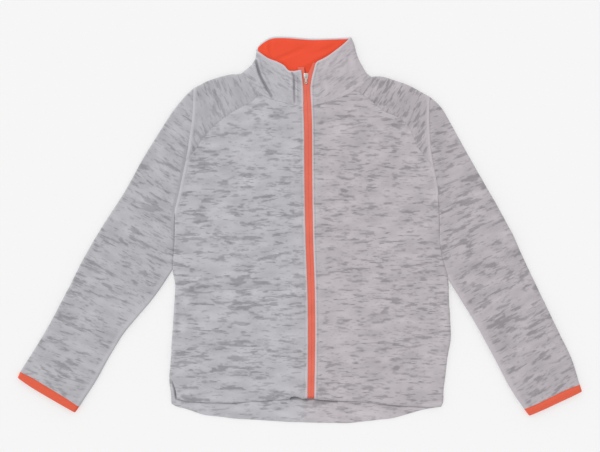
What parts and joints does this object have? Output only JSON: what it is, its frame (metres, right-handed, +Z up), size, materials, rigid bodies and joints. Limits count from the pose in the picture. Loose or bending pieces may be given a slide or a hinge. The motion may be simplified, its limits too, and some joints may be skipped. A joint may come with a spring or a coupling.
{
  "type": "fleece zip jacket",
  "caption": "Slub fleece jacket with a full front zip, stand collar, set-in sleeves and a dropped back hem, laid flat on its back with the zip closed to the neck.",
  "frame": {"origin": "on the surface that the jacket lies on, under the middle of its bounding box", "axes": "+X towards the cuff of the wearer's left sleeve, +Y from the hem to the collar, +Z up from the surface, out of the fronts"},
  "size_m": [1.039, 0.7123, 0.0121],
  "materials": {
    "grey_fleece": "soft brushed slub fleece, short darker streaks across each piece",
    "orange_fleece": "smooth knit face inside the collar",
    "orange_binding": "folded knit binding",
    "orange_zip": "woven tape with a coil on its back",
    "orange_plastic": "moulded",
    "zip_metal": "plated, lightly worn"
  },
  "bodies": {
    "jacket": {"back_panel": "grey_fleece", "front_right": "grey_fleece", "front_left": "grey_fleece", "yoke_right": "grey_fleece", "yoke_left": "grey_fleece", "sleeve_right": "grey_fleece", "sleeve_left": "grey_fleece", "cuff_binding_right": "orange_binding", "cuff_binding_left": "orange_binding", "collar_outer": "grey_fleece", "collar_inner": "orange_fleece", "zip_tape_right": "orange_zip", "zip_tape_left": "orange_zip", "zip_box": "orange_plastic", "zip_slider": "zip_metal"},
    "pull_tab": {"pull_tab": "zip_metal"}
  },
  "joints": [
    {"name": "pull_tab_hinge", "type": "hinge", "parent": "jacket", "child": "pull_tab", "pos_m": [0.0114, 0.2838, 0.0101], "axis": [-1, 0, 0], "range_deg": [0, 150]}
  ]
}
